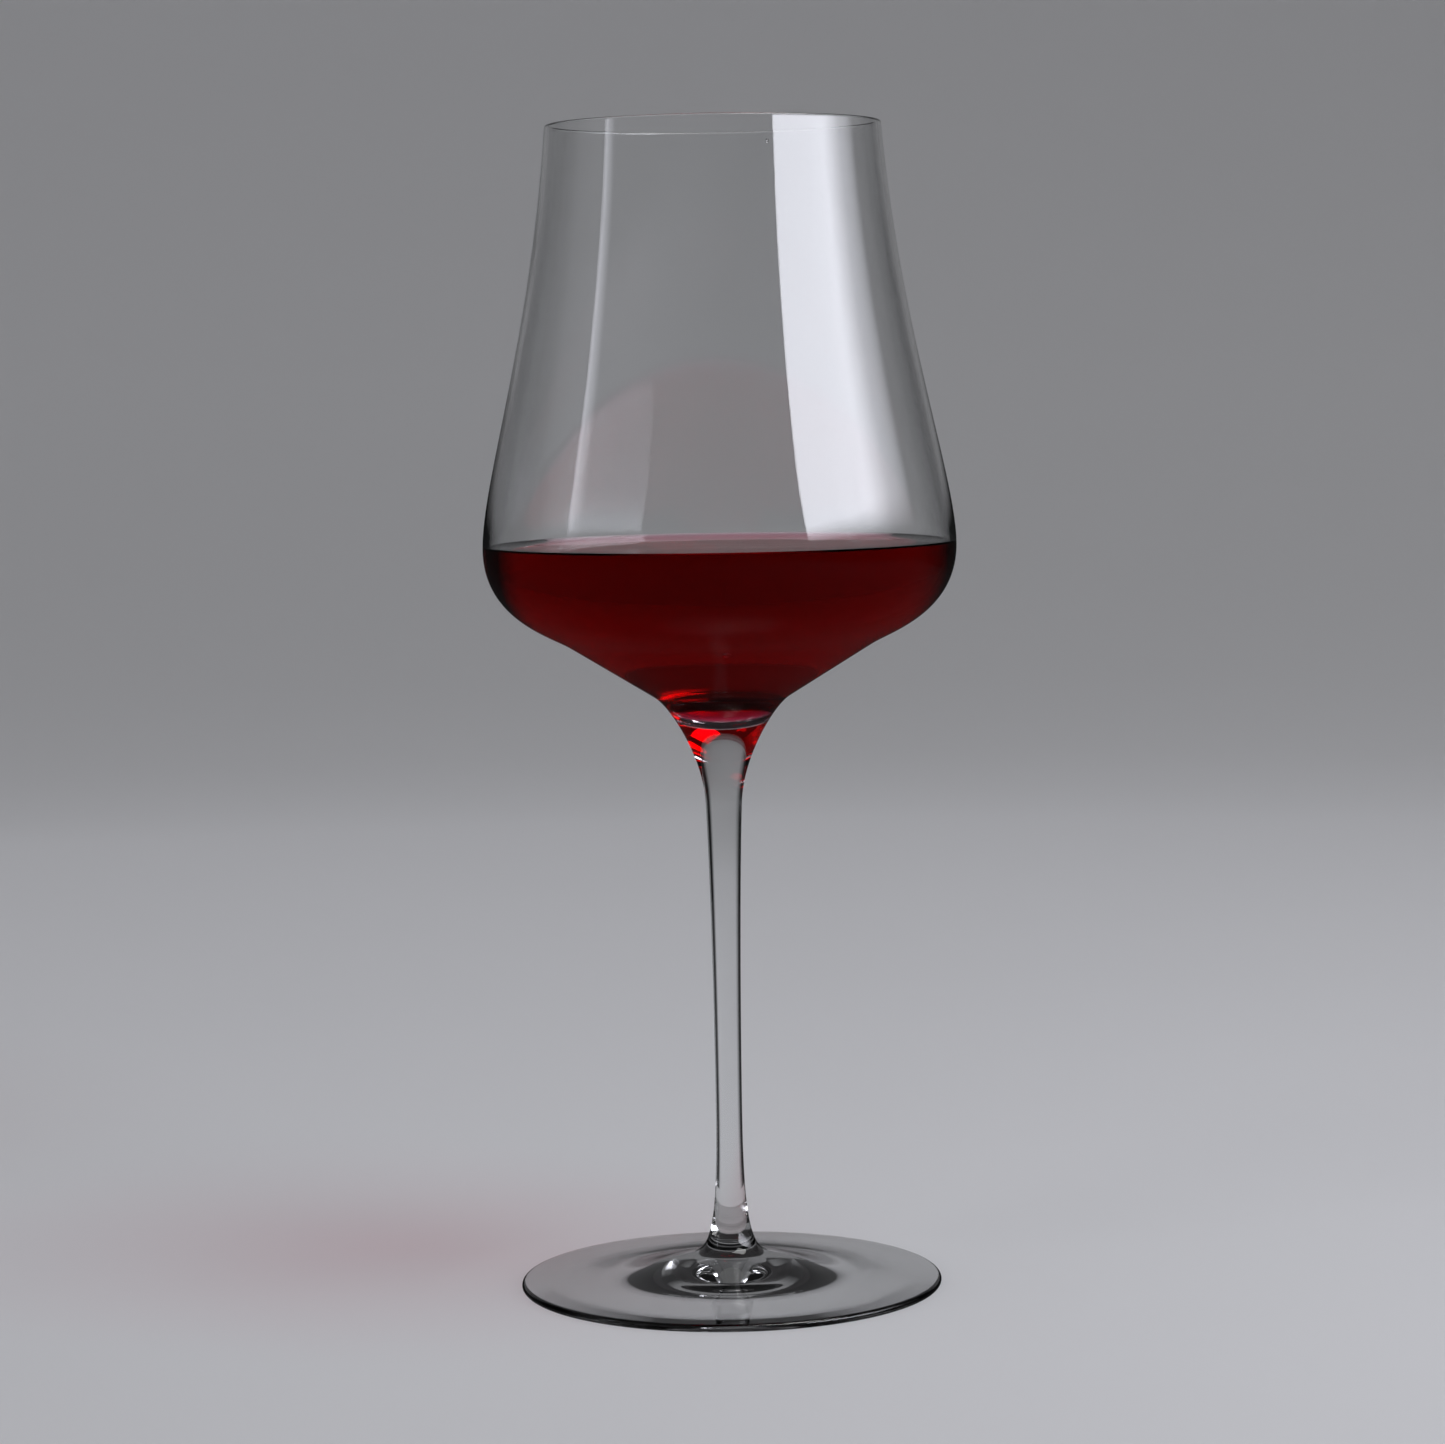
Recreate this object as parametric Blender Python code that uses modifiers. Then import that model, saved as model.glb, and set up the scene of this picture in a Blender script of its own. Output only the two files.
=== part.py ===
"""A stemmed glass of red wine: one turned piece of clear glass and the wine standing in its bowl.

Units are metres and +Z is up. The axis of the glass is the Z axis and the foot stands on z = 0.
"""

import math

import bpy
from mathutils import Vector

# Overall sizes of the glass
HEIGHT = 0.230
RIM_RADIUS = 0.0329
BOWL_RADIUS = 0.0466
BOWL_WIDEST_Z = 0.1475
FOOT_RADIUS = 0.0419

# Wall of the bowl, thinnest at the rim and thickest at the floor
RIM_THICKNESS = 0.0009
FLOOR_THICKNESS = 0.0013
FLOOR_RADIUS = 0.0070

# Bowl from the rim down: a side leaning out, a tight shoulder, then a straight cone
RIM_LEAN = math.radians(4.8)
SIDE_UPPER_REACH = 0.0420
SIDE_LOWER_REACH = 0.0130
SHOULDER_REACH = 0.0135
CONE_SLOPE = math.radians(31.6)
CONE_TOP_RADIUS = 0.0300
CONE_TOP_Z = 0.1281
CONE_TOP_REACH = 0.0045
CONE_FOOT_RADIUS = 0.0135

# Stem: a drawn neck under the bowl, then a long slight taper to the waist
NECK_REACH = 0.0038
STEM_TOP_RADIUS = 0.0036
STEM_TOP_Z = 0.0970
STEM_TOP_LEAN = math.radians(3.0)
STEM_TOP_REACH = 0.0090
WAIST_RADIUS = 0.0026
WAIST_Z = 0.0360
WAIST_REACH = 0.0260

# Foot: the stem flares into a low dome, which runs out into a thin disc
FLARE_REACH = 0.0200
DOME_TOP_RADIUS = 0.0075
DOME_TOP_Z = 0.0064
DOME_TOP_SLOPE = math.radians(12.0)
DOME_TOP_REACH = 0.0042
DOME_SHOULDER_REACH = 0.0080
DOME_FOOT_RADIUS = 0.0260
DOME_FOOT_Z = 0.0020
DOME_FOOT_REACH = 0.0090
DISC_SLOPE = math.radians(1.9)
EDGE_THICKNESS = 0.0015
REST_RING_WIDTH = 0.0050
HOLLOW_DEPTH = 0.0014

# Wine
WINE_LEVEL = 0.1474
WINE_GAP = 0.0003

# Fineness of the turned surfaces
TURN_STEPS = 60
SIDE_SPANS = 8
SHOULDER_SPANS = 7
FLOOR_SPANS = 4
RIM_SPANS = 4
NECK_SPANS = 7
STEM_SPANS = 4
FLARE_SPANS = 6
DOME_SPANS = 7
EDGE_SPANS = 4
HOLLOW_SPANS = 4
MERGE_DISTANCE = 0.00001
SHARP_ANGLE = math.radians(35.0)


def at(radius, height):
    """A point of a profile: distance from the axis and height above the table."""
    return Vector((radius, height))


def along(angle, length):
    """A step of the given length, at this angle above the outward direction."""
    return Vector((math.cos(angle), math.sin(angle))) * length


def curve(start, start_handle, end_handle, end, spans):
    """Points on a cubic Bezier curve, from its start to its end in even steps of its parameter."""
    points = []
    for i in range(spans + 1):
        t = i / spans
        s = 1.0 - t
        points.append(
            start * s**3
            + start_handle * (3.0 * t * s**2)
            + end_handle * (3.0 * t**2 * s)
            + end * t**3
        )
    return points


def arc(centre, radius, start_angle, end_angle, spans):
    """Points on a circular arc, angles measured from the outward direction towards up."""
    step = (end_angle - start_angle) / spans
    return [centre + along(start_angle + i * step, radius) for i in range(spans + 1)]


def joined(*runs):
    """One profile from several, leaving out each point that repeats the one before it."""
    points = []
    for run in runs:
        for point in run:
            if not points or (point - points[-1]).length > MERGE_DISTANCE:
                points.append(point)
    return points


def rim_centre():
    """Centre of the round bead that finishes the rim."""
    return at(RIM_RADIUS - RIM_THICKNESS / 2, HEIGHT - RIM_THICKNESS / 2)


def cone_foot():
    """Lower end of the straight cone, on its outer face."""
    run = (CONE_TOP_RADIUS - CONE_FOOT_RADIUS) / math.cos(CONE_SLOPE)
    return at(CONE_TOP_RADIUS, CONE_TOP_Z) - along(CONE_SLOPE, run)


def bowl_outside():
    """Outer face of the bowl, from the rim down to the foot of the cone."""
    top = rim_centre() + along(RIM_LEAN, RIM_THICKNESS / 2)
    widest = at(BOWL_RADIUS, BOWL_WIDEST_Z)
    cone_top = at(CONE_TOP_RADIUS, CONE_TOP_Z)
    side = curve(
        top,
        top + along(RIM_LEAN - math.pi / 2, SIDE_UPPER_REACH),
        widest + at(0.0, SIDE_LOWER_REACH),
        widest,
        SIDE_SPANS,
    )
    shoulder = curve(
        widest,
        widest - at(0.0, SHOULDER_REACH),
        cone_top + along(CONE_SLOPE, CONE_TOP_REACH),
        cone_top,
        SHOULDER_SPANS,
    )
    return joined(side, shoulder, [cone_foot()])


def wall_thickness(height):
    """Thickness of the wall at a height, growing evenly from the rim to the floor."""
    share = (HEIGHT - height) / (HEIGHT - cone_foot().y)
    return RIM_THICKNESS + (FLOOR_THICKNESS - RIM_THICKNESS) * share


def bowl_inside(clearance):
    """Inner face of the bowl from the axis up to the rim, set further in by the clearance.

    Each point of the outer face moves inwards, square to the face. The floor is an arc that
    leaves the cone smoothly at FLOOR_RADIUS and crosses the axis level.
    """
    outer = bowl_outside()
    wall = []
    for i, point in enumerate(outer):
        before = outer[max(i - 1, 0)]
        after = outer[min(i + 1, len(outer) - 1)]
        run = (after - before).normalized()
        inwards = Vector((run.y, -run.x))
        wall.append(point + inwards * (wall_thickness(point.y) + clearance))
    cone = (wall[-2] - wall[-1]).normalized()
    slope = math.atan2(cone.y, cone.x)
    floor_end = wall[-1] + cone * ((FLOOR_RADIUS - wall[-1].x) / cone.x)
    floor_bend = FLOOR_RADIUS / math.sin(slope)
    centre = at(0.0, floor_end.y + floor_bend * math.cos(slope))
    floor = arc(centre, floor_bend, -math.pi / 2, slope - math.pi / 2, FLOOR_SPANS)
    return joined(floor, list(reversed(wall[:-1])))


def stem():
    """Neck and stem, from the foot of the cone down to the top of the dome."""
    top = at(STEM_TOP_RADIUS, STEM_TOP_Z)
    waist = at(WAIST_RADIUS, WAIST_Z)
    dome_top = at(DOME_TOP_RADIUS, DOME_TOP_Z)
    down = -math.pi / 2 - STEM_TOP_LEAN
    neck = curve(
        cone_foot(),
        cone_foot() - along(CONE_SLOPE, NECK_REACH),
        top - along(down, STEM_TOP_REACH),
        top,
        NECK_SPANS,
    )
    shaft = curve(
        top,
        top + along(down, STEM_TOP_REACH),
        waist + at(0.0, WAIST_REACH),
        waist,
        STEM_SPANS,
    )
    flare = curve(
        waist,
        waist - at(0.0, FLARE_REACH),
        dome_top - along(-DOME_TOP_SLOPE, DOME_TOP_REACH),
        dome_top,
        FLARE_SPANS,
    )
    return joined(neck, shaft, flare)


def foot():
    """Foot, from the top of its dome out to the edge and back under it to the axis."""
    dome_top = at(DOME_TOP_RADIUS, DOME_TOP_Z)
    dome_foot = at(DOME_FOOT_RADIUS, DOME_FOOT_Z)
    dome = curve(
        dome_top,
        dome_top + along(-DOME_TOP_SLOPE, DOME_SHOULDER_REACH),
        dome_foot - along(-DISC_SLOPE, DOME_FOOT_REACH),
        dome_foot,
        DOME_SPANS,
    )
    bead = EDGE_THICKNESS / 2
    edge_centre = at(FOOT_RADIUS - bead, bead)
    edge = arc(edge_centre, bead, math.pi / 2 - DISC_SLOPE, -math.pi / 2, EDGE_SPANS)
    ring_inside = at(FOOT_RADIUS - bead - REST_RING_WIDTH, 0.0)
    hollow = curve(
        ring_inside,
        at(ring_inside.x * 0.8, 0.0),
        at(ring_inside.x * 0.4, HOLLOW_DEPTH),
        at(0.0, HOLLOW_DEPTH),
        HOLLOW_SPANS,
    )
    return joined(dome, edge, hollow)


def glass_profile():
    """Whole section of the glass: inner floor, inner wall, rim, outer wall, stem and foot."""
    rim = arc(rim_centre(), RIM_THICKNESS / 2, math.pi + RIM_LEAN, RIM_LEAN, RIM_SPANS)
    return joined(bowl_inside(0.0), rim, bowl_outside(), stem(), foot())


def wine_profile():
    """Section of the wine, from the middle of its flat surface out and down to the axis."""
    side = [point for point in bowl_inside(WINE_GAP) if point.y < WINE_LEVEL - MERGE_DISTANCE]
    above = next(point for point in bowl_inside(WINE_GAP) if point.y >= WINE_LEVEL - MERGE_DISTANCE)
    share = (WINE_LEVEL - side[-1].y) / (above.y - side[-1].y)
    brim = side[-1].lerp(above, share)
    return joined([at(0.0, WINE_LEVEL), brim], list(reversed(side)))


def turned(name, profile, material, collection):
    """A solid of revolution: the profile turned once round the Z axis with a Screw modifier."""
    section = bpy.data.meshes.new(name + "_section")
    section.from_pydata(
        [(point.x, 0.0, point.y) for point in profile],
        [(i, i + 1) for i in range(len(profile) - 1)],
        [],
    )
    piece = bpy.data.objects.new(name, section)
    collection.objects.link(piece)
    screw = piece.modifiers.new("turn", "SCREW")
    screw.axis = "Z"
    screw.angle = 2.0 * math.pi
    screw.steps = TURN_STEPS
    screw.render_steps = TURN_STEPS
    screw.use_merge_vertices = True
    screw.merge_threshold = MERGE_DISTANCE
    evaluated = piece.evaluated_get(bpy.context.evaluated_depsgraph_get())
    solid = bpy.data.meshes.new_from_object(evaluated)
    solid.name = name
    piece.modifiers.clear()
    piece.data = solid
    bpy.data.meshes.remove(section)
    solid.shade_smooth()
    solid.set_sharp_from_angle(angle=SHARP_ANGLE)
    solid.materials.append(material)
    return piece


def principled(name, colour, roughness, ior):
    """A clear material on the Principled shader."""
    material = bpy.data.materials.new(name)
    material.use_nodes = True
    shader = material.node_tree.nodes["Principled BSDF"]
    shader.inputs["Base Color"].default_value = (*colour, 1.0)
    shader.inputs["Roughness"].default_value = roughness
    shader.inputs["Metallic"].default_value = 0.0
    shader.inputs["IOR"].default_value = ior
    shader.inputs["Transmission Weight"].default_value = 1.0
    material.diffuse_color = (*colour, 1.0)
    return material


def clear_scene():
    """Takes every object out of the scene."""
    for thing in list(bpy.data.objects):
        bpy.data.objects.remove(thing, do_unlink=True)


def main():
    """Makes the glass and the wine in a collection of their own."""
    clear_scene()
    collection = bpy.data.collections.new("glass_of_red_wine")
    bpy.context.scene.collection.children.link(collection)
    clear_glass = principled("clear_glass", (0.95, 0.96, 0.97), 0.02, 1.5)
    red_wine = principled("red_wine", (0.24, 0.004, 0.016), 0.03, 1.34)
    glass = turned("glass", glass_profile(), clear_glass, collection)
    wine = turned("wine", wine_profile(), red_wine, collection)
    wine.parent = glass


main()
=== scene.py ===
"""A stemmed glass of red wine, its finishes and a plain studio round it, laid out as an add-on.

Units are metres. The axis of the glass is the Z axis, and its foot stands on z = 0. A profile
is an array of points (r, z): the distance from that axis and the height.
"""

import math

import bpy
import numpy as np
from bpy.props import FloatProperty, FloatVectorProperty, PointerProperty
from mathutils import Matrix, Vector


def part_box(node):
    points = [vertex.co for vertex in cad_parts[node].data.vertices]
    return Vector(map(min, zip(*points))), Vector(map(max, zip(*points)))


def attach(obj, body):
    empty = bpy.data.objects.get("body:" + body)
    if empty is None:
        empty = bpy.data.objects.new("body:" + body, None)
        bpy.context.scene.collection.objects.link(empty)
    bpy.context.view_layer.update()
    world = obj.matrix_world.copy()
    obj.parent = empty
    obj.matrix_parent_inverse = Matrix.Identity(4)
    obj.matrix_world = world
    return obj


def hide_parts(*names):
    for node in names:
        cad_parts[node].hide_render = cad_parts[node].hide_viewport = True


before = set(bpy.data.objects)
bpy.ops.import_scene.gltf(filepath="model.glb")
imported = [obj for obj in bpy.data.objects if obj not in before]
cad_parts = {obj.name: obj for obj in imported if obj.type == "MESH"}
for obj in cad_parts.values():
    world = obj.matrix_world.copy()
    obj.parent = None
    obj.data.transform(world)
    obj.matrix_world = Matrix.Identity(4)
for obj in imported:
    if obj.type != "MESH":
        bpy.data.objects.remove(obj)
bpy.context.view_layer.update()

bl_info = {
    "name": "Glass of red wine",
    "version": (1, 0, 0),
    "blender": (4, 5, 0),
    "location": "3D View > Sidebar > Wine glass",
    "description": "Builds a stemmed glass of red wine and a plain studio to show it in",
    "category": "Add Mesh",
}

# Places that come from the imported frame
GLASS_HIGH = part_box("glass")[1]
WINE_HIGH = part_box("wine")[1]

# Bowl: how far each curve's handle reaches, and how the cone lies
RIM_LEAN = math.radians(4.8)
SIDE_UPPER_REACH = 0.0420
SIDE_LOWER_REACH = 0.0130
SHOULDER_REACH = 0.0135
CONE_SLOPE = math.radians(31.6)
CONE_TOP = np.array((0.0300, 0.1281))
CONE_TOP_REACH = 0.0045
CONE_FOOT_RADIUS = 0.0135
FLOOR_RADIUS = 0.0070

# Neck, stem and flare
NECK_REACH = 0.0038
STEM_TOP_Z = 0.0970
STEM_TOP_LEAN = math.radians(3.0)
STEM_TOP_REACH = 0.0090
WAIST_Z = 0.0360
WAIST_REACH = 0.0260
FLARE_REACH = 0.0200

# Foot: a low dome that runs out into a thin disc, slightly hollow beneath
DOME_TOP = np.array((0.0075, 0.0064))
DOME_TOP_SLOPE = math.radians(12.0)
DOME_TOP_REACH = 0.0042
DOME_SHOULDER_REACH = 0.0080
DOME_FOOT = np.array((0.0260, 0.0020))
DOME_FOOT_REACH = 0.0090
DISC_SLOPE = math.radians(1.9)
REST_RING_WIDTH = 0.0050
HOLLOW_DEPTH = 0.0014
HOLLOW_HANDLES = (0.8, 0.4)

# How far the wine goes into the wall, so that no air shows between them
WALL_BITE = 0.00025

# Slope at which the wine's surface counts as level, as a share of its steepest
FLATTEST_SHARE = 0.001

# How strongly glass and wine bend light
GLASS_IOR = 1.52
WINE_IOR = 1.34

# Glass: share of its reflection left where wine touches it, height of its waves, height of the
# drawing lines as a share of that, and roughness and dimming where its haze is thickest
WETTED_SHEEN = 0.1
WAVE_HEIGHT = 0.00016
DRAWN_SHARE = 0.03
HAZE_ROUGHNESS = 0.012
HAZE_DIMMING = 0.985

# Wine: share of its reflection that is left, height of its stirring, roughness at its motes
WINE_SHEEN = 0.25
STIR_HEIGHT = 0.00005
MOTE_ROUGHNESS = 0.01

# Air caught in the wall near the rim and inside the wine near the wall: where each stands, as
# an azimuth towards the right from the camera's side and a height, and its half sizes along,
# through and up the wall. The gap is the bubble's distance from the wall.
SEED_AZIMUTH = math.radians(18.0)
SEED_HEIGHT = 0.2247
SEED_HALVES = (0.00030, 0.00020, 0.00038)
BUBBLE_AZIMUTH = math.radians(2.0)
BUBBLE_HEIGHT = 0.1289
BUBBLE_HALVES = (0.0010, 0.0005, 0.0008)
BUBBLE_GAP = 0.0012

# Light left after crossing one face of the glass on its way to the floor
SHADOW_TINT = (0.99, 0.99, 0.99)

# Fineness of the turned surfaces, and the distance within which points count as one
COLUMNS = 200
FINE = 48
COARSE = 14
SHARP_ANGLE = math.radians(35.0)
MERGE_DISTANCE = 1e-7

# Floor: it lies just under the foot, flat out to a radius, then bends up into a wall
FLOOR_DROP = 0.00004
FLOOR_FLAT_RADIUS = 0.9
FLOOR_BEND = 1.1
WALL_TOP = 2.6

# Share by which the floor's low part is painted dark where the outside of the glass mirrors it, a
#  painted dark reflection, and the number of faces crossed past which light counts as turned back
#  inside
MIRRORED_DARKNESS = 0.97
OUTSIDE_CROSSINGS = 4.5

# Dark cards, painted dark reflections that only the glass shows: they run out along the floor from
# a
#  radius to a distance, then up to a height
CARD_START = 0.06
CARD_DISTANCE = 0.75
CARD_LIFT = 0.0008
CARD_HEIGHT = 0.6

# Panels of light: the height that they face, their colours, and stops of glow across the broad
# one, across the narrow one and up both, which leave the foot clear of hard reflections
LIGHT_HEIGHT = 0.19
COOL_WHITE = (0.90, 0.91, 1.0)
PLAIN_WHITE = (1.0, 1.0, 1.0)
BROAD_FADE = [(0.0, 1.0), (0.55, 1.0), (0.75, 0.4), (1.0, 0.05)]
NARROW_FADE = [(0.0, 1.0), (0.25, 0.6), (1.0, 0.03)]
UPWARD_FADE = [(0.0, 0.0), (0.12, 0.0), (0.38, 1.0), (1.0, 1.0)]

# Width of the camera's sensor in millimetres
SENSOR_WIDTH = 36.0

QUARTER_TURN = math.pi / 2
WHOLE_TURN = math.pi * 2


class GlassSizes(bpy.types.PropertyGroup):
    """Driving sizes of the glass."""

    height: FloatProperty(
        name="Height",
        description="From the floor to the top of the rim",
        default=GLASS_HIGH.z,
        unit="LENGTH",
    )
    rim_radius: FloatProperty(
        name="Rim radius",
        description="Outer radius of the rim",
        default=0.0329,
        unit="LENGTH",
    )
    bowl_radius: FloatProperty(
        name="Bowl radius",
        description="Outer radius of the bowl at its widest",
        default=GLASS_HIGH.x,
        unit="LENGTH",
    )
    widest_height: FloatProperty(
        name="Widest height",
        description="Height at which the bowl is widest",
        default=0.1475,
        unit="LENGTH",
    )
    rim_thickness: FloatProperty(
        name="Rim thickness",
        description="Thickness of the wall at the rim",
        default=0.0009,
        unit="LENGTH",
    )
    floor_thickness: FloatProperty(
        name="Floor thickness",
        description="Thickness of the wall at the foot of the bowl's cone",
        default=0.0013,
        unit="LENGTH",
    )
    stem_radius: FloatProperty(
        name="Stem radius",
        description="Radius of the stem just under the neck",
        default=0.0036,
        unit="LENGTH",
    )
    waist_radius: FloatProperty(
        name="Waist radius",
        description="Radius of the stem where it is thinnest",
        default=0.0026,
        unit="LENGTH",
    )
    foot_radius: FloatProperty(
        name="Foot radius",
        description="Outer radius of the foot",
        default=0.0419,
        unit="LENGTH",
    )
    foot_edge: FloatProperty(
        name="Foot edge",
        description="Thickness of the foot at its round edge",
        default=0.0015,
        unit="LENGTH",
    )


class WineSizes(bpy.types.PropertyGroup):
    """Driving sizes of the wine."""

    level: FloatProperty(
        name="Level",
        description="Height of the wine's flat surface above the floor",
        default=WINE_HIGH.z,
        unit="LENGTH",
    )
    climb: FloatProperty(
        name="Meniscus climb",
        description="How far the wine climbs where it meets the wall",
        default=0.0008,
        unit="LENGTH",
    )
    capillary_length: FloatProperty(
        name="Capillary length",
        description="Length that weighs the wine's surface tension against its weight",
        default=0.00227,
        unit="LENGTH",
    )


class Finishes(bpy.types.PropertyGroup):
    """Colours and surface qualities."""

    glass_tint: FloatVectorProperty(
        name="Glass tint",
        description="Colour of light that has crossed the clear glass",
        default=(0.985, 0.99, 0.99),
        subtype="COLOR",
        size=3,
        min=0.0,
        max=1.0,
    )
    wine_colour: FloatVectorProperty(
        name="Wine colour",
        description="Colour that the wine lets through",
        default=(0.937, 0.0, 0.3),
        subtype="COLOR",
        size=3,
        min=0.0,
        max=1.0,
    )
    wine_depth: FloatProperty(
        name="Wine depth",
        description="How strongly the wine takes the other colours, for each metre",
        default=300.0,
        min=0.0,
    )


class Studio(bpy.types.PropertyGroup):
    """Camera, lights and floor."""

    camera_distance: FloatProperty(
        name="Camera distance",
        description="Level distance from the glass's axis to the camera",
        default=0.7904,
        unit="LENGTH",
    )
    camera_height: FloatProperty(
        name="Camera height",
        description="Height of the camera above the floor",
        default=0.1819,
        unit="LENGTH",
    )
    aim_height: FloatProperty(
        name="Aim height",
        description="Height on the glass's axis that the camera looks at",
        default=0.1127,
        unit="LENGTH",
    )
    camera_roll: FloatProperty(
        name="Camera roll",
        description="Turn of the camera about its own line of sight",
        default=math.radians(-0.964),
        subtype="ANGLE",
    )
    lens: FloatProperty(
        name="Lens",
        description="Focal length in millimetres on a sensor 36 mm wide",
        default=100.0,
        unit="CAMERA",
    )
    floor_colour: FloatVectorProperty(
        name="Floor colour",
        description="Colour of the floor round the glass",
        default=(0.55, 0.55, 0.555),
        subtype="COLOR",
        size=3,
        min=0.0,
        max=1.0,
    )
    wall_colour: FloatVectorProperty(
        name="Wall colour",
        description="Colour of the wall that the floor runs up into",
        default=(0.78, 0.78, 0.79),
        subtype="COLOR",
        size=3,
        min=0.0,
        max=1.0,
    )
    brightness: FloatProperty(
        name="Brightness",
        description="How brightly the broad panel on the right glows",
        default=7.0,
        min=0.0,
    )


def along(angle, length):
    """A step in a profile's plane: length times (cosine, sine) of the angle above outwards."""
    return np.array((math.cos(angle), math.sin(angle))) * length


def up(length):
    """A step straight up in a profile's plane."""
    return np.array((0.0, length))


def steps(count, crowding=1.0):
    """Values from 0 to 1: even steps raised to a power, which crowds them towards 0."""
    return np.linspace(0.0, 1.0, count)[:, None] ** crowding


def curve(start, start_handle, end_handle, end, count, crowding=1.0):
    """A cubic Bezier curve in steps of t, crowded towards its start if asked.

    The four points are weighted by s^3, 3 t s^2, 3 t^2 s and t^3, where s is 1 - t.
    """
    t = steps(count, crowding)
    s = 1.0 - t
    return start * s**3 + start_handle * (3 * t * s**2) + end_handle * (3 * t**2 * s) + end * t**3


def arc(centre, radius, first, last, count):
    """A circular arc: centre plus radius times (cosine, sine) of an angle from first to last."""
    angle = np.linspace(first, last, count)
    return centre + radius * np.stack((np.cos(angle), np.sin(angle)), axis=1)


def line(start, end, count, crowding=1.0):
    """A straight run of steps from start to end, crowded towards its start if asked."""
    t = steps(count, crowding)
    return start * (1.0 - t) + end * t


def joined(*runs):
    """One profile from several, without a point that repeats the one before it."""
    points = np.concatenate(runs)
    gaps = np.linalg.norm(np.diff(points, axis=0), axis=1)
    return points[np.concatenate(([True], gaps > MERGE_DISTANCE))]


def cone_foot():
    """Lower end of the bowl's straight cone, on its outer face."""
    run = (CONE_TOP[0] - CONE_FOOT_RADIUS) / math.cos(CONE_SLOPE)
    return CONE_TOP - along(CONE_SLOPE, run)


def rim_centre(sizes):
    """Centre of the round bead along the rim."""
    half = sizes.rim_thickness / 2
    return np.array((sizes.rim_radius - half, sizes.height - half))


def bowl_outside(sizes):
    """Outer face of the bowl, from the rim down.

    Two Bezier curves meet upright at the widest point, and a straight cone follows.
    """
    top = rim_centre(sizes) + along(RIM_LEAN, sizes.rim_thickness / 2)
    widest = np.array((sizes.bowl_radius, sizes.widest_height))
    side = curve(
        top,
        top + along(RIM_LEAN - QUARTER_TURN, SIDE_UPPER_REACH),
        widest + up(SIDE_LOWER_REACH),
        widest,
        FINE,
        crowding=2.0,
    )
    shoulder = curve(
        widest,
        widest - up(SHOULDER_REACH),
        CONE_TOP + along(CONE_SLOPE, CONE_TOP_REACH),
        CONE_TOP,
        FINE,
    )
    return joined(side, shoulder, line(CONE_TOP, cone_foot(), COARSE))


def bowl_inside(sizes, outwards=0.0):
    """Inner face of the bowl, from the axis up to the rim.

    Each point of the outer face is moved inwards along the normal by the wall's thickness there,
    less the given distance outwards. The floor is an arc that leaves the cone smoothly and
    crosses the axis level.
    """
    outer = bowl_outside(sizes)
    run = np.gradient(outer, axis=0)
    run /= np.linalg.norm(run, axis=1)[:, None]
    inwards = np.stack((run[:, 1], -run[:, 0]), axis=1)
    share = (sizes.height - outer[:, 1]) / (sizes.height - cone_foot()[1])
    thickness = sizes.rim_thickness + (sizes.floor_thickness - sizes.rim_thickness) * share
    wall = (outer + inwards * (thickness - outwards)[:, None])[::-1]
    cone = wall[1] - wall[0]
    slope = math.atan2(cone[1], cone[0])
    floor_end = wall[0] + cone * (FLOOR_RADIUS - wall[0, 0]) / cone[0]
    bend = FLOOR_RADIUS / math.sin(slope)
    centre = np.array((0.0, floor_end[1] + bend * math.cos(slope)))
    floor = arc(centre, bend, -QUARTER_TURN, slope - QUARTER_TURN, COARSE)
    return joined(floor, line(floor_end, wall[COARSE], COARSE), wall[COARSE:])


def stem(sizes):
    """Neck, shaft and flare: three Bezier curves, from the bowl's cone down to the foot's dome."""
    top = np.array((sizes.stem_radius, STEM_TOP_Z))
    waist = np.array((sizes.waist_radius, WAIST_Z))
    down = along(-QUARTER_TURN - STEM_TOP_LEAN, STEM_TOP_REACH)
    neck = curve(cone_foot(), cone_foot() - along(CONE_SLOPE, NECK_REACH), top - down, top, FINE)
    shaft = curve(top, top + down, waist + up(WAIST_REACH), waist, FINE)
    flare_end = DOME_TOP - along(-DOME_TOP_SLOPE, DOME_TOP_REACH)
    flare = curve(waist, waist - up(FLARE_REACH), flare_end, DOME_TOP, FINE)
    return joined(neck, shaft, flare)


def foot(sizes):
    """Foot, from the top of its dome to the axis underneath.

    A Bezier curve runs down the dome. A straight disc, a round edge, a flat ring and a Bezier
    curve up into the hollow follow.
    """
    dome = curve(
        DOME_TOP,
        DOME_TOP + along(-DOME_TOP_SLOPE, DOME_SHOULDER_REACH),
        DOME_FOOT - along(-DISC_SLOPE, DOME_FOOT_REACH),
        DOME_FOOT,
        FINE,
    )
    bead = sizes.foot_edge / 2
    edge_centre = np.array((sizes.foot_radius - bead, bead))
    edge = arc(edge_centre, bead, QUARTER_TURN - DISC_SLOPE, -QUARTER_TURN, COARSE)
    ring = edge_centre[0] - REST_RING_WIDTH
    hollow = curve(
        np.array((ring, 0.0)),
        np.array((ring * HOLLOW_HANDLES[0], 0.0)),
        np.array((ring * HOLLOW_HANDLES[1], HOLLOW_DEPTH)),
        np.array((0.0, HOLLOW_DEPTH)),
        COARSE,
    )
    disc = line(edge[0], DOME_FOOT, COARSE, crowding=2.0)[::-1]
    rest = line(edge[-1], hollow[0], COARSE, crowding=2.0)
    return joined(dome, disc, edge, rest, hollow)


def split_at(profile, height):
    """A rising profile in two, below and above a height, with a point of both at that height."""
    brim = np.array([(np.interp(height, profile[COARSE:, 1], profile[COARSE:, 0]), height)])
    under = profile[:, 1] < height
    return joined(profile[under], brim), joined(brim, profile[~under])


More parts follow.
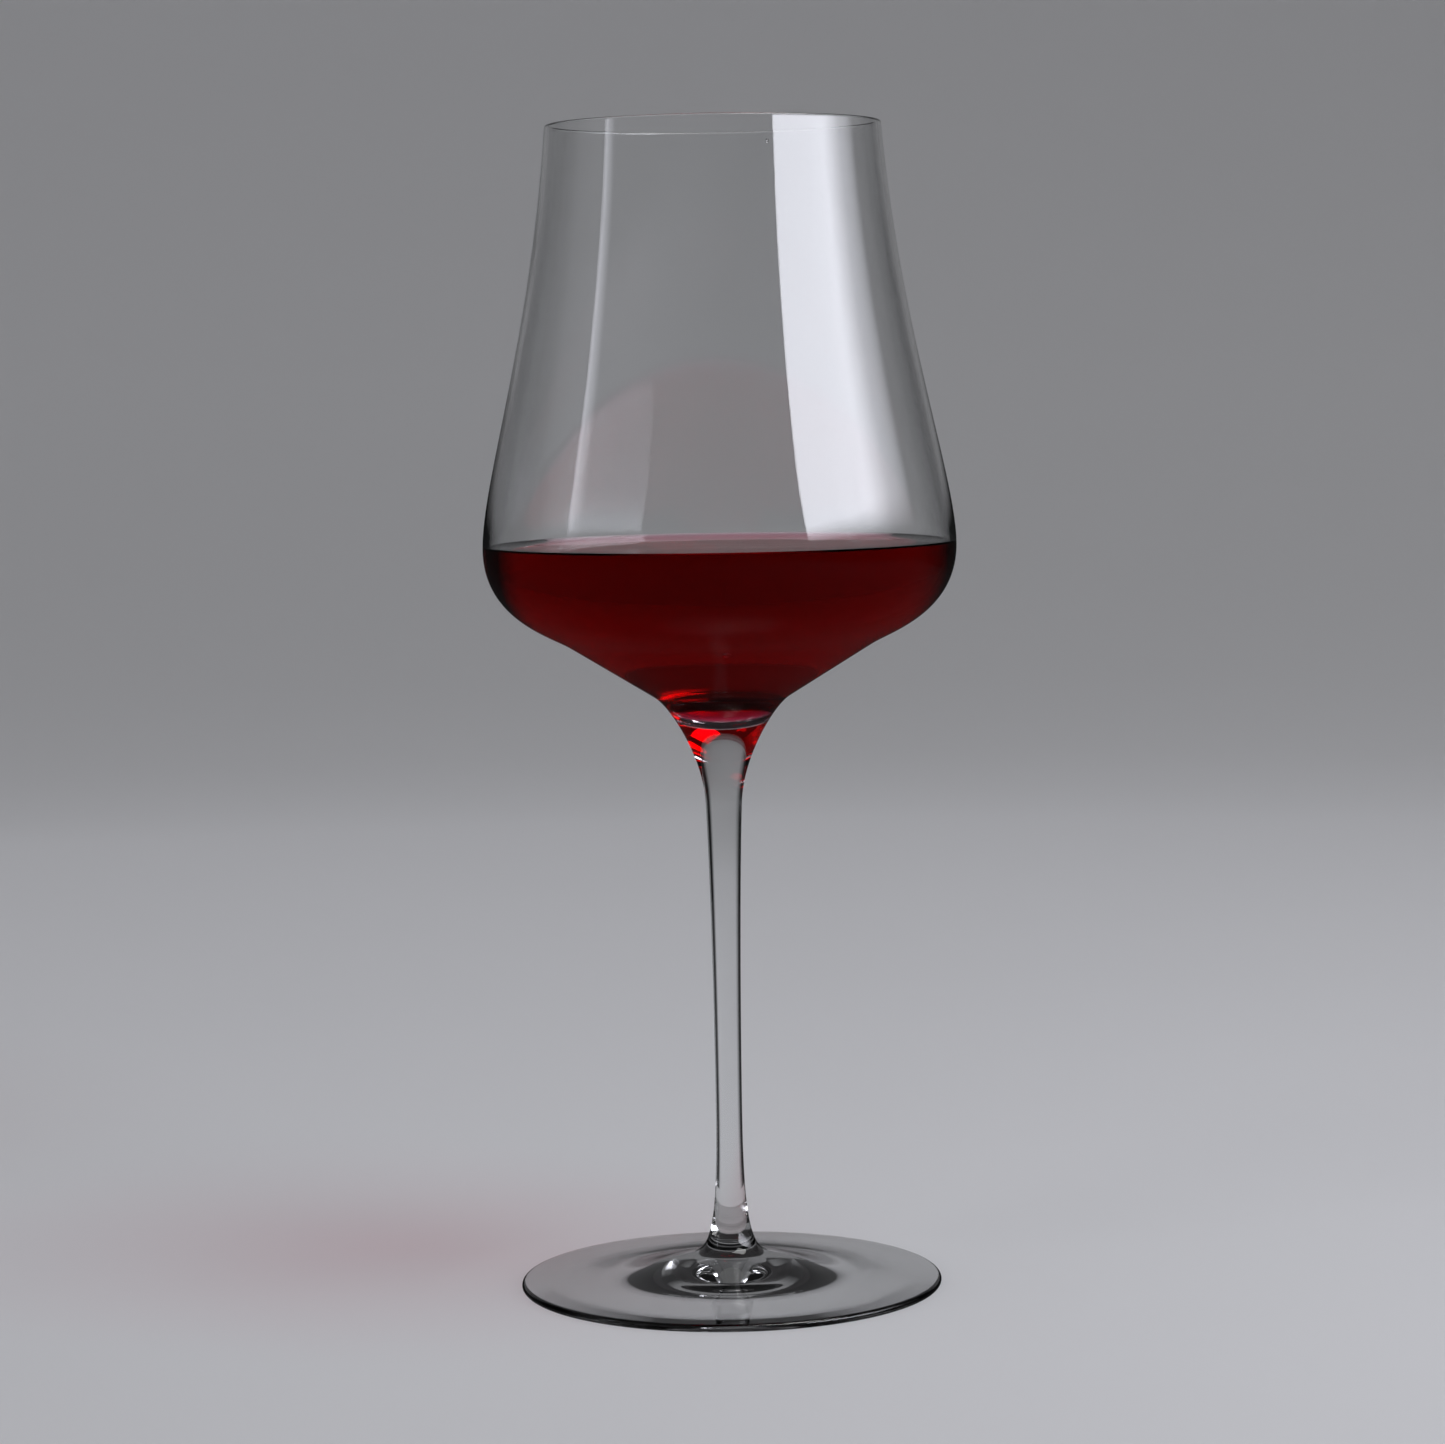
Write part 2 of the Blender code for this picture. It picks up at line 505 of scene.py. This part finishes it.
def glass_profiles(sizes, brim_height):
    """Section of the glass in two runs: the inner floor and wall as far as the wine wets them,
    then the inner wall above it, the rim, the outer wall, the stem and the foot."""
    wet, dry = split_at(bowl_inside(sizes), brim_height)
    rim = arc(rim_centre(sizes), sizes.rim_thickness / 2, math.pi + RIM_LEAN, RIM_LEAN, COARSE)
    return wet, joined(dry, rim, bowl_outside(sizes), stem(sizes), foot(sizes))


def wine_profile(sizes, wine):
    """Section of the wine: out along its surface from the axis, then down the wall to the axis.

    The surface is a liquid's own curve at an upright wall. With c the capillary length and p
    the slope's angle, its height above the level is 2 c sin(p / 2), and its distance from the
    axis is c (ln tan(p / 4) + 2 cos(p / 2)) plus what puts its steepest point on the wall.
    """
    wall, _ = split_at(bowl_inside(sizes, WALL_BITE), wine.level + wine.climb)
    wet_radius = wall[-1, 0] - WALL_BITE
    steepest = 2.0 * math.asin(wine.climb / (2.0 * wine.capillary_length))
    slope = steepest * np.geomspace(1.0, FLATTEST_SHARE, 2 * FINE)
    across = wine.capillary_length * (np.log(np.tan(slope / 4)) + 2.0 * np.cos(slope / 2))
    height = wine.level + 2.0 * wine.capillary_length * np.sin(slope / 2)
    surface = np.stack((wet_radius + across - across[0], height), axis=1)
    middle = np.array([(0.0, wine.level)])
    return joined(middle, surface[::-1], wall[::-1])


def turned_mesh(name, profile, columns):
    """A profile of points (r, z) turned round the Z axis.

    The point at parameters (i, a) is (r_i cos a, r_i sin a, z_i). An end of the profile that
    lies on the axis becomes one vertex with a fan of triangles, and the last column of faces
    meets the first.
    """
    on_axis = profile[:, 0] < MERGE_DISTANCE
    rings = profile[~on_axis]
    angle = np.linspace(0.0, WHOLE_TURN, columns, endpoint=False)
    points = np.empty((len(rings), columns, 3))
    points[:, :, 0] = rings[:, :1] * np.cos(angle)
    points[:, :, 1] = rings[:, :1] * np.sin(angle)
    points[:, :, 2] = rings[:, 1:]
    poles = [(0.0, 0.0, z) for z in profile[on_axis, 1]]
    vertices = np.concatenate((points.reshape(-1, 3), np.reshape(poles, (-1, 3))))

    here = np.arange(columns)
    after = (here + 1) % columns
    row = np.arange(len(rings) - 1)[:, None] * columns
    below = row + columns
    quads = np.stack((row + here, below + here, below + after, row + after), axis=2)
    fans = []
    pole = points.shape[0] * columns
    if on_axis[0]:
        fans.append(np.stack((np.full(columns, pole), here, after), axis=1))
        pole += 1
    if on_axis[-1]:
        last = (len(rings) - 1) * columns
        fans.append(np.stack((last + here, np.full(columns, pole), last + after), axis=1))
    return mesh_from(name, vertices, [quads.reshape(-1, 4), *fans])


def mesh_from(name, vertices, face_groups):
    """A smooth-shaded mesh from an array of vertices and arrays of faces of like size."""
    corners = np.concatenate([faces.ravel() for faces in face_groups])
    totals = np.concatenate([np.full(len(faces), faces.shape[1]) for faces in face_groups])
    mesh = bpy.data.meshes.new(name)
    mesh.vertices.add(len(vertices))
    mesh.vertices.foreach_set("co", np.ascontiguousarray(vertices, dtype=np.float32).ravel())
    mesh.loops.add(len(corners))
    mesh.loops.foreach_set("vertex_index", corners.astype(np.int32))
    mesh.polygons.add(len(totals))
    mesh.polygons.foreach_set("loop_start", (np.cumsum(totals) - totals).astype(np.int32))
    mesh.update(calc_edges=True)
    mesh.validate()
    mesh.shade_smooth()
    mesh.set_sharp_from_angle(angle=SHARP_ANGLE)
    return mesh


def ellipsoid(name, azimuth, radius, height, halves):
    """A small ellipsoid on a bowl's wall, turned to face outwards there.

    The point at (u, v) has the parts (p cos u sin v, q sin u sin v, s cos v) along, through and
    up the wall, with p, q and s the half sizes, moved out to the wall.
    """
    profile = arc(np.zeros(2), 1.0, -QUARTER_TURN, QUARTER_TURN, COARSE)
    mesh = turned_mesh(name, profile, FINE)
    points = np.empty(len(mesh.vertices) * 3, dtype=np.float32)
    mesh.vertices.foreach_get("co", points)
    along_wall, through, upwards = (points.reshape(-1, 3) * halves).T
    through = through - radius
    x = along_wall * math.cos(azimuth) - through * math.sin(azimuth)
    y = along_wall * math.sin(azimuth) + through * math.cos(azimuth)
    moved = np.stack((x, y, upwards + height), axis=1)
    mesh.vertices.foreach_set("co", np.ascontiguousarray(moved, dtype=np.float32).ravel())
    mesh.update()
    return mesh


def add_piece(name, mesh, material):
    """Puts a mesh in the scene as an object at the origin, with its material."""
    piece = bpy.data.objects.new(name, mesh)
    bpy.context.scene.collection.objects.link(piece)
    mesh.materials.append(material)
    return piece


class Value:
    """One output socket, with arithmetic that adds Math nodes."""

    def __init__(self, net, socket):
        self.net = net
        self.socket = socket

    def __add__(self, other):
        return self.net.math("ADD", self, other)

    def __sub__(self, other):
        return self.net.math("SUBTRACT", self, other)

    def __rsub__(self, other):
        return self.net.math("SUBTRACT", other, self)

    def __mul__(self, other):
        return self.net.math("MULTIPLY", self, other)

    __radd__ = __add__
    __rmul__ = __mul__


class Net:
    """The nodes of a material or a light, added by type with their settings and sockets."""

    def __init__(self, owner):
        self.owner = owner
        owner.use_nodes = True
        self.tree = owner.node_tree
        self.tree.nodes.clear()

    def add(self, kind, settings=None, sockets=None, out=0):
        """Adds a node: its settings first, then values or links for its sockets."""
        node = self.tree.nodes.new(kind)
        for name, setting in (settings or {}).items():
            if name == "stops":
                self.set_stops(node.color_ramp, setting)
            else:
                setattr(node, name, setting)
        for name, value in (sockets or {}).items():
            if isinstance(value, Value):
                self.tree.links.new(value.socket, node.inputs[name])
            else:
                node.inputs[name].default_value = value
        return Value(self, node.outputs[out])

    def set_stops(self, ramp, stops):
        """Gives a ramp its stops, each a place and a grey."""
        while len(ramp.elements) < len(stops):
            ramp.elements.new(1.0)
        for element, (place, grey) in zip(ramp.elements, stops):
            element.position = place
            element.color = (grey, grey, grey, 1.0)

    def math(self, operation, first, second):
        """One Math node."""
        return self.add("ShaderNodeMath", {"operation": operation}, {0: first, 1: second})

    def stretched(self, scale):
        """Object coordinates, multiplied along each axis."""
        place = self.add("ShaderNodeTexCoord", out="Object")
        settings = {"operation": "MULTIPLY"}
        return self.add("ShaderNodeVectorMath", settings, {0: place, 1: scale})

    def noise(self, scale, detail):
        """Noise at so many waves for each metre along X, Y and Z."""
        sockets = {"Vector": self.stretched(scale), "Scale": 1.0, "Detail": detail}
        return self.add("ShaderNodeTexNoise", None, sockets)

    def ramp(self, value, stops):
        """A value sent through stops of grey."""
        return self.add("ShaderNodeValToRGB", {"stops": stops}, {"Fac": value})

    def mixed(self, share, first, second):
        """Two colours mixed by a share."""
        ends = [end if isinstance(end, Value) else (*end, 1.0) for end in (first, second)]
        sockets = {0: share, 6: ends[0], 7: ends[1]}
        return self.add("ShaderNodeMix", {"data_type": "RGBA"}, sockets, out=2)

    def grey(self, share):
        """A grey of this share of white."""
        return self.mixed(share, (0.0, 0.0, 0.0), (1.0, 1.0, 1.0))

    def from_axis(self):
        """Distance from the Z axis."""
        level = self.stretched((1.0, 1.0, 0.0))
        return self.add("ShaderNodeVectorMath", {"operation": "LENGTH"}, {0: level}, out="Value")

    def part(self, vector, axis):
        """One part of a vector."""
        return self.add("ShaderNodeSeparateXYZ", None, {"Vector": vector}, out=axis)

    def bump(self, height, distance):
        """A normal bent by a height, at full scale this many metres."""
        sockets = {"Height": height, "Distance": distance, "Strength": 1.0}
        return self.add("ShaderNodeBump", None, sockets)

    def lit_through(self, surface, tint):
        """The same surface, but lamps shine through it in straight lines, tinted."""
        shadow = self.add("ShaderNodeLightPath", out="Is Shadow Ray")
        clear = self.add("ShaderNodeBsdfTransparent", None, {"Color": (*tint, 1.0)})
        return self.add("ShaderNodeMixShader", None, {0: shadow, 1: surface, 2: clear})

    def finish(self, surface, volume=None, kind="ShaderNodeOutputMaterial"):
        """Joins the surface, and the volume if there is one, to the output."""
        output = self.tree.nodes.new(kind)
        self.tree.links.new(surface.socket, output.inputs["Surface"])
        if volume is not None:
            self.tree.links.new(volume.socket, output.inputs["Volume"])
        return self.owner


def blown_glass(name, finishes, sheen):
    """Clear glass: drawing lines up the stem, faint waves all over and a breath of haze.

    The drawing lines run from 20 mm to 92 mm up and fade out past both ends. The sheen is the
    share of a dry face's reflection that is left. Glass that wine touches reflects little, as
    the two bend light nearly alike.
    """
    net = Net(bpy.data.materials.new(name))
    height = net.part(net.stretched((1.0, 1.0, 1.0)), "Z")
    on_stem = net.ramp(height * 5.0, [(0.05, 0.0), (0.1, 1.0), (0.46, 1.0), (0.56, 0.0)])
    drawn = net.noise((900.0, 900.0, 12.0), detail=1.0) * on_stem
    waves = net.noise((30.0, 30.0, 18.0), detail=1.0)
    haze = net.ramp(net.noise((45.0, 45.0, 30.0), detail=2.0), [(0.52, 0.0), (0.72, 1.0)])
    clear = tuple(finishes.glass_tint)
    veiled = tuple(HAZE_DIMMING * part for part in clear)
    surface = net.add(
        "ShaderNodeBsdfPrincipled",
        None,
        {
            "Base Color": net.mixed(haze, clear, veiled),
            "Roughness": haze * HAZE_ROUGHNESS,
            "IOR": GLASS_IOR,
            "Specular Tint": (sheen, sheen, sheen, 1.0),
            "Transmission Weight": 1.0,
            "Normal": net.bump(drawn * DRAWN_SHARE + waves, WAVE_HEIGHT),
        },
    )
    return net.finish(net.lit_through(surface, SHADOW_TINT))


def red_wine(finishes):
    """Wine: a clear red liquid that deepens with thickness, its surface barely stirring."""
    net = Net(bpy.data.materials.new("red_wine"))
    stir = net.noise((60.0, 60.0, 60.0), detail=1.0)
    motes = net.ramp(net.noise((500.0, 500.0, 500.0), detail=2.0), [(0.55, 0.0), (0.8, 1.0)])
    surface = net.add(
        "ShaderNodeBsdfPrincipled",
        None,
        {
            "Base Color": net.mixed(motes, (1.0, 0.98, 0.985), (1.0, 0.9, 0.93)),
            "Roughness": motes * MOTE_ROUGHNESS,
            "IOR": WINE_IOR,
            "Specular Tint": (WINE_SHEEN, WINE_SHEEN, WINE_SHEEN, 1.0),
            "Transmission Weight": 1.0,
            "Normal": net.bump(stir, STIR_HEIGHT),
        },
    )
    volume = net.add(
        "ShaderNodeVolumeAbsorption",
        None,
        {"Color": (*finishes.wine_colour, 1.0), "Density": finishes.wine_depth},
    )
    return net.finish(net.lit_through(surface, PLAIN_WHITE), volume)


def trapped_air(name, surround_ior):
    """Air in a clear medium: light bends the other way at its surface."""
    net = Net(bpy.data.materials.new(name))
    skin = net.noise((4000.0, 4000.0, 4000.0), detail=1.0)
    surface = net.add(
        "ShaderNodeBsdfPrincipled",
        None,
        {
            "Base Color": net.mixed(skin, (0.98, 0.98, 0.98), (1.0, 1.0, 1.0)),
            "Roughness": skin * 0.02,
            "IOR": 1.0 / surround_ior,
            "Transmission Weight": 1.0,
        },
    )
    return net.finish(surface)


def floor_finish(studio):
    """Plain pale floor with the faintest mottling and a velvety nap, paler at a low angle.

    Its colour passes into the wall's between 0.4 m and 1.5 m from the axis.

    Where the outside of the glass mirrors it, its part below 0.15 m is painted dark, a painted
    dark reflection, and up to 0.25 m it fades to its own colour, so that no pale veil lies over
    the wine. Light that has crossed many faces was turned back inside the wine or the glass, and
    sees the floor as it is.
    """
    net = Net(bpy.data.materials.new("studio_floor"))
    mottle = net.noise((9.0, 9.0, 9.0), detail=2.0)
    pale = tuple(studio.floor_colour)
    paper = net.mixed(mottle, tuple(0.96 * part for part in pale), pale)
    far = net.ramp(net.from_axis() * 0.5, [(0.2, 0.0), (0.75, 1.0)])
    surface = net.add(
        "ShaderNodeBsdfPrincipled",
        None,
        {
            "Base Color": net.mixed(far, paper, tuple(studio.wall_colour)),
            "Roughness": mottle * 0.1 + 0.5,
            "Sheen Weight": 1.0,
            "Sheen Roughness": 0.5,
        },
    )
    height = net.part(net.stretched((1.0, 1.0, 1.0)), "Z")
    low = net.ramp(height * 2.0, [(0.3, 1.0), (0.5, 0.0)])
    # Painted dark reflection: rays mirrored by the glass see the low floor near-black, though it
    # is pale
    mirrored = net.math("GREATER_THAN", net.add("ShaderNodeLightPath", out="Glossy Depth"), 0.5)
    crossed = net.add("ShaderNodeLightPath", out="Transmission Depth")
    outside = net.math("LESS_THAN", crossed, OUTSIDE_CROSSINGS)
    share = mirrored * outside * low * MIRRORED_DARKNESS
    dark = net.add("ShaderNodeBsdfDiffuse", None, {"Color": (0.01, 0.01, 0.01, 1.0)})
    return net.finish(net.add("ShaderNodeMixShader", None, {0: share, 1: surface, 2: dark}))


def wetted(centres, wet):
    """Which faces the wine touches, as whole numbers: those whose centres lie along a profile.

    A face counts when its distance from the axis is within WALL_BITE of the profile's own at
    the same height, and its height is below the profile's last.
    """
    radius = np.hypot(centres[:, 0], centres[:, 1])
    reach = np.interp(centres[:, 2], wet[:, 1], wet[:, 0], left=-1.0, right=-1.0)
    return (np.abs(radius - reach) < WALL_BITE).astype(np.int32)


class WINEGLASS_OT_add_glass(bpy.types.Operator):
    """Add the blown glass: bowl, stem and foot in one piece"""

    bl_idname = "wineglass.add_glass"
    bl_label = "Glass"

    def execute(self, context):
        sizes, wine = context.scene.wineglass_sizes, context.scene.wineglass_wine
        finishes = context.scene.wineglass_finishes
        wet, dry = glass_profiles(sizes, wine.level + wine.climb)
        mesh = turned_mesh("blown_glass", joined(wet, dry), COLUMNS)
        piece = add_piece("blown_glass", mesh, blown_glass("clear_glass", finishes, 1.0))
        mesh.materials.append(blown_glass("wetted_glass", finishes, WETTED_SHEEN))
        centres = np.empty(len(mesh.polygons) * 3, dtype=np.float32)
        mesh.polygons.foreach_get("center", centres)
        mesh.polygons.foreach_set("material_index", wetted(centres.reshape(-1, 3), wet))
        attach(piece, "root")
        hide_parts("glass")
        return {"FINISHED"}


class WINEGLASS_OT_add_wine(bpy.types.Operator):
    """Add the wine, with its surface climbing a little at the wall"""

    bl_idname = "wineglass.add_wine"
    bl_label = "Wine"

    def execute(self, context):
        settings = context.scene
        profile = wine_profile(settings.wineglass_sizes, settings.wineglass_wine)
        mesh = turned_mesh("poured_wine", profile, COLUMNS)
        piece = add_piece("poured_wine", mesh, red_wine(settings.wineglass_finishes))
        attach(piece, "root")
        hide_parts("wine")
        return {"FINISHED"}


class WINEGLASS_OT_add_air(bpy.types.Operator):
    """Add the seed of air in the wall near the rim and the bubble inside the wine"""

    bl_idname = "wineglass.add_air"
    bl_label = "Air seed and bubble"

    def execute(self, context):
        sizes = context.scene.wineglass_sizes
        inner = bowl_inside(sizes)[COARSE:]
        at_seed = np.interp(SEED_HEIGHT, inner[:, 1], inner[:, 0]) + sizes.rim_thickness / 2
        at_bubble = np.interp(BUBBLE_HEIGHT, inner[:, 1], inner[:, 0]) - BUBBLE_GAP
        seed = add_piece(
            "air_seed",
            ellipsoid("air_seed", SEED_AZIMUTH, at_seed, SEED_HEIGHT, SEED_HALVES),
            trapped_air("air_in_glass", GLASS_IOR),
        )
        bubble = add_piece(
            "air_bubble",
            ellipsoid("air_bubble", BUBBLE_AZIMUTH, at_bubble, BUBBLE_HEIGHT, BUBBLE_HALVES),
            trapped_air("air_in_wine", WINE_IOR),
        )
        for piece, slot in ((seed, "clear_glass"), (bubble, "red_wine")):
            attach(piece, "root")
        return {"FINISHED"}


def studio_floor(studio):
    """Adds the floor: a flat disc, a quarter circle up and a straight wall, turned round Z."""
    bend_centre = np.array((FLOOR_FLAT_RADIUS, FLOOR_BEND - FLOOR_DROP))
    bend = arc(bend_centre, FLOOR_BEND, -QUARTER_TURN, 0.0, COARSE)
    flat = line(np.array((0.0, -FLOOR_DROP)), bend[0], COARSE)
    wall = line(bend[-1], np.array((bend[-1][0], WALL_TOP)), COARSE)
    mesh = turned_mesh("studio_floor", joined(flat, bend, wall)[::-1], COLUMNS)
    add_piece("studio_floor", mesh, floor_finish(studio))


def soft_panel(name, azimuth, elevation, distance, size, glow, colour, fade=()):
    """Adds a soft panel of light that faces the glass, its size a width and a height.

    Azimuth is counted in degrees from the camera's side towards the right. The fade holds
    stops across the panel and stops up it, by which the glow is multiplied.
    """
    a, e = math.radians(azimuth), math.radians(elevation)
    way = Vector((math.sin(a) * math.cos(e), -math.cos(a) * math.cos(e), math.sin(e)))
    panel = bpy.data.lights.new(name, "AREA")
    panel.shape = "RECTANGLE"
    panel.size, panel.size_y = size
    panel.energy = math.pi * panel.size * panel.size_y * glow
    panel.color = colour
    if fade:
        net = Net(panel)
        place = net.add("ShaderNodeNewGeometry", out="Parametric")
        share = net.ramp(net.part(place, "X"), fade[0]) * net.ramp(net.part(place, "Y"), fade[1])
        cloth = net.add("ShaderNodeEmission", None, {"Color": net.grey(share)})
        net.finish(cloth, kind="ShaderNodeOutputLight")
    light = bpy.data.objects.new(name, panel)
    light.location = Vector((0.0, 0.0, LIGHT_HEIGHT)) + way * distance
    light.rotation_mode = "QUATERNION"
    light.rotation_quaternion = (-way).to_track_quat("-Z", "Y")
    light.visible_camera = False
    bpy.context.scene.collection.objects.link(light)


def card_finish(name, first, last):
    """Painted dark reflection: black with a faint nap, which fades out towards the card's first
    and last azimuth.
    """
    net = Net(bpy.data.materials.new(name))
    place = net.stretched((1.0, -1.0, 1.0))
    azimuth = net.math("ARCTAN2", net.part(place, "X"), net.part(place, "Y"))
    middle, half = math.radians((first + last) / 2), math.radians((last - first) / 2)
    off_middle = net.math("ABSOLUTE", azimuth - middle, 0.0) * (1.0 / half)
    faded = net.ramp(off_middle, [(0.35, 0.0), (1.0, 1.0)])
    nap = net.noise((400.0, 400.0, 400.0), detail=2.0)
    painted_black = net.mixed(nap, (0.004, 0.004, 0.004), (0.012, 0.012, 0.012))
    cloth = net.add("ShaderNodeBsdfPrincipled", None, {"Base Color": painted_black, "Roughness": 0.9})
    gone = net.add("ShaderNodeBsdfTransparent")
    return net.finish(net.add("ShaderNodeMixShader", None, {0: faded, 1: cloth, 2: gone}))


def dark_card(name, first, last):
    """Adds a dark card that shows only in the glass, a painted dark reflection that draws the
    edges.

    A section of points (r, h) runs out along the floor and up. The card's point at (a, i) is
    (r_i sin a, -r_i cos a, h_i), between two azimuths in degrees from the camera's side
    towards the right.
    """
    section = np.array(
        ((CARD_START, CARD_LIFT), (CARD_DISTANCE, CARD_LIFT), (CARD_DISTANCE, CARD_HEIGHT))
    )
    a, i = np.meshgrid(np.radians(np.linspace(first, last, COARSE)), np.arange(len(section)))
    r, h = section[i, 0], section[i, 1]
    points = np.stack((np.sin(a) * r, -np.cos(a) * r, h), axis=2)
    corner = (np.arange(len(section) - 1)[:, None] * COARSE + np.arange(COARSE - 1)).ravel()
    quads = np.stack((corner, corner + COARSE, corner + COARSE + 1, corner + 1), axis=1)
    mesh = mesh_from(name, points.reshape(-1, 3), [quads])
    card = add_piece(name, mesh, card_finish(name, first, last))
    # The card is a painted dark reflection: no camera, shadow or diffuse ray sees it
    card.visible_camera = False
    card.visible_shadow = False
    card.visible_diffuse = False


def studio_lights(studio):
    """Adds the broad panel on the right, the narrow one on the left and the one overhead."""
    soft_panel(
        "right_panel",
        azimuth=75.0,
        elevation=13.5,
        distance=0.85,
        size=(1.1, 0.44),
        glow=studio.brightness,
        colour=COOL_WHITE,
        fade=(BROAD_FADE, UPWARD_FADE),
    )
    soft_panel(
        "left_panel",
        azimuth=-73.0,
        elevation=13.5,
        distance=0.85,
        size=(0.11, 0.44),
        glow=0.5 * studio.brightness,
        colour=COOL_WHITE,
        fade=(NARROW_FADE, UPWARD_FADE),
    )
    soft_panel(
        "key_panel",
        azimuth=60.0,
        elevation=60.0,
        distance=1.3,
        size=(0.8, 0.8),
        glow=0.62 * studio.brightness,
        colour=PLAIN_WHITE,
    )


def studio_camera(studio):
    """Adds the camera where the photograph was taken from, looking straight at the glass."""
    place = Vector((0.0, -studio.camera_distance, studio.camera_height))
    forward = (Vector((0.0, 0.0, studio.aim_height)) - place).normalized()
    level = forward.cross(Vector((0.0, 0.0, 1.0))).normalized()
    upright = level.cross(forward)
    turn = Matrix((level, upright, -forward)).transposed()
    turn = turn @ Matrix.Rotation(studio.camera_roll, 3, "Z")
    lens = bpy.data.cameras.new("camera")
    lens.sensor_width = SENSOR_WIDTH
    lens.lens = studio.lens
    lens.clip_start = 0.01
    lens.clip_end = 20.0
    camera = bpy.data.objects.new("camera", lens)
    camera.matrix_world = Matrix.Translation(place) @ turn.to_4x4()
    bpy.context.scene.collection.objects.link(camera)
    bpy.context.scene.camera = camera


def studio_world():
    """Gives the scene a plain dim surround and settings that let light cross many surfaces."""
    world = bpy.data.worlds.new("studio_world")
    world.use_nodes = True
    background = world.node_tree.nodes["Background"]
    background.inputs["Color"].default_value = (0.97, 0.98, 1.0, 1.0)
    background.inputs["Strength"].default_value = 0.1
    scene = bpy.context.scene
    scene.world = world
    scene.view_settings.view_transform = "Standard"
    scene.cycles.max_bounces = 10
    scene.cycles.diffuse_bounces = 2
    scene.cycles.transmission_bounces = 10
    scene.cycles.glossy_bounces = 6
    scene.cycles.transparent_max_bounces = 16
    scene.cycles.sample_clamp_indirect = 8.0
    scene.cycles.use_denoising = True
    scene.cycles.use_light_tree = False
    scene.cycles.caustics_refractive = False
    scene.cycles.caustics_reflective = False


class WINEGLASS_OT_add_stage(bpy.types.Operator):
    """Add the floor, lights, surround and camera"""

    bl_idname = "wineglass.add_stage"
    bl_label = "Studio"

    def execute(self, context):
        studio = context.scene.wineglass_studio
        studio_floor(studio)
        dark_card("right_card", first=112.0, last=148.0)
        dark_card("left_card", first=-150.0, last=-85.0)
        studio_lights(studio)
        studio_world()
        studio_camera(studio)
        return {"FINISHED"}


class WINEGLASS_PT_panel(bpy.types.Panel):
    """Sidebar panel with the sizes, the colours and a button for each piece"""

    bl_idname = "WINEGLASS_PT_panel"
    bl_label = "Glass of red wine"
    bl_space_type = "VIEW_3D"
    bl_region_type = "UI"
    bl_category = "Wine glass"

    def draw(self, context):
        for name in GROUPS:
            group = getattr(context.scene, name)
            box = self.layout.box()
            for key in group.__annotations__:
                box.prop(group, key)
        for operator in OPERATORS:
            self.layout.operator(operator.bl_idname)


GROUPS = {
    "wineglass_sizes": GlassSizes,
    "wineglass_wine": WineSizes,
    "wineglass_finishes": Finishes,
    "wineglass_studio": Studio,
}
OPERATORS = (
    WINEGLASS_OT_add_glass,
    WINEGLASS_OT_add_wine,
    WINEGLASS_OT_add_air,
    WINEGLASS_OT_add_stage,
)
CLASSES = (*GROUPS.values(), *OPERATORS, WINEGLASS_PT_panel)


def register():
    """Registers the classes and hangs the settings on the scene."""
    for each in CLASSES:
        bpy.utils.register_class(each)
    for name, group in GROUPS.items():
        setattr(bpy.types.Scene, name, PointerProperty(type=group))


def unregister():
    """Takes the settings and the classes away again."""
    for name in GROUPS:
        delattr(bpy.types.Scene, name)
    for each in reversed(CLASSES):
        bpy.utils.unregister_class(each)


def main():
    """Builds everything in order."""
    register()
    bpy.ops.wineglass.add_glass()
    bpy.ops.wineglass.add_wine()
    bpy.ops.wineglass.add_air()
    bpy.ops.wineglass.add_stage()


if __name__ == "__main__":
    main()
